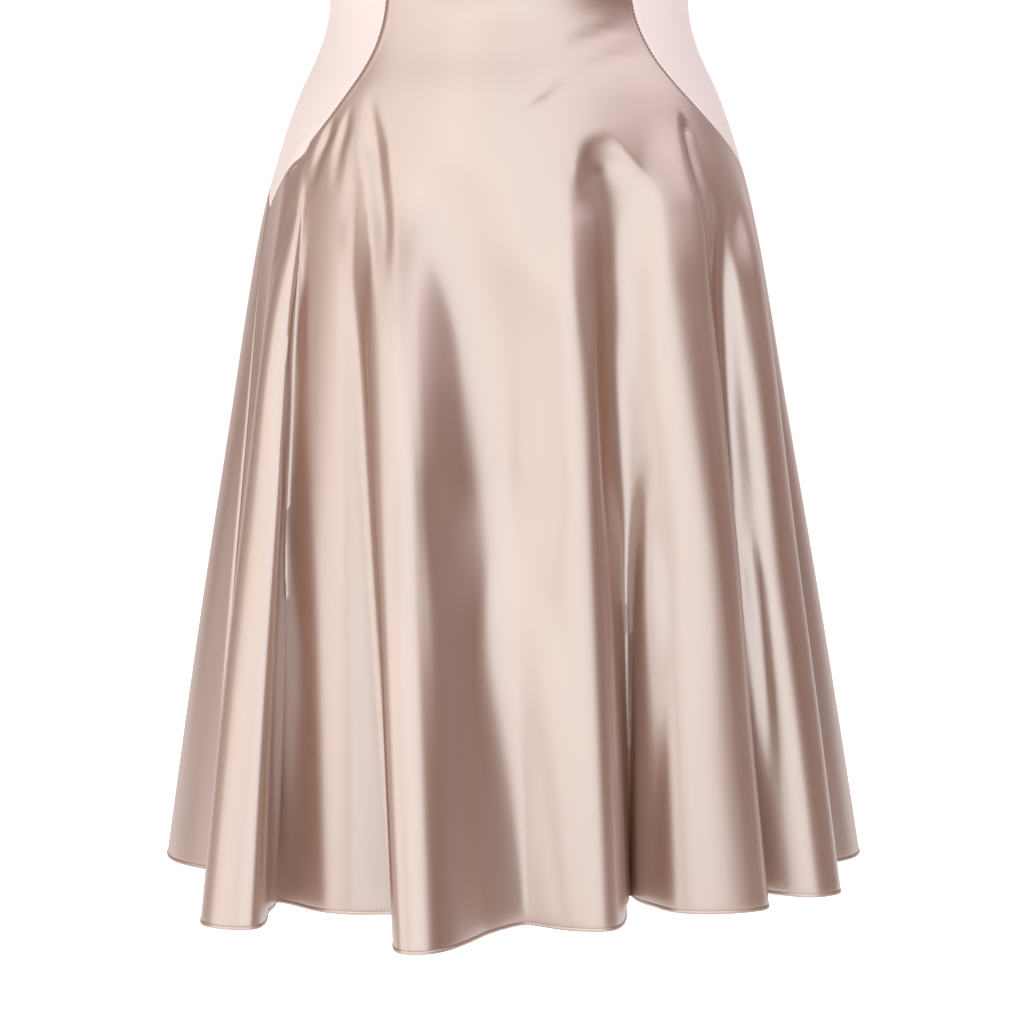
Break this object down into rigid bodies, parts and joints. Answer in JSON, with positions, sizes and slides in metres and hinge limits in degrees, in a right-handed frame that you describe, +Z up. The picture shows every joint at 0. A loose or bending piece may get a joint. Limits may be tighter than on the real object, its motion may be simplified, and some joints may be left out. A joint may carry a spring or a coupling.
{
  "type": "satin fit and flare dress",
  "caption": "Knee-length sleeveless dress with a fitted bodice, crepe side panels ending in points at the hips, and a full flared satin skirt in deep folds, hung in its worn shape.",
  "frame": {"origin": "midway between the shoulders, on the line of the shoulder seams, at the height of the seams' inner ends, where the wearer's shoulders hold the dress up", "axes": "+Z up, -Y the way the wearer faces, +X towards the wearer's left"},
  "size_m": [0.5076, 0.5018, 1.0223],
  "materials": {
    "satin": "glossy satin face, matt back",
    "crepe": "matt crepe",
    "zip_tape": "woven tape, matt",
    "zip_metal": "enamelled to match the satin"
  },
  "bodies": {
    "dress": {"front_panel": "satin", "back_panel_left": "satin", "back_panel_right": "satin", "side_panel_left": "crepe", "side_panel_right": "crepe", "zip": "zip_tape", "zip_slider": "zip_metal"},
    "pull": {"zip_pull": "zip_metal"}
  },
  "joints": [
    {"name": "zip_pull_hinge", "type": "hinge", "parent": "dress", "child": "pull", "pos_m": [0, 0.07137, -0.0725], "axis": [1, 0, 0], "range_deg": [0, 150]}
  ]
}
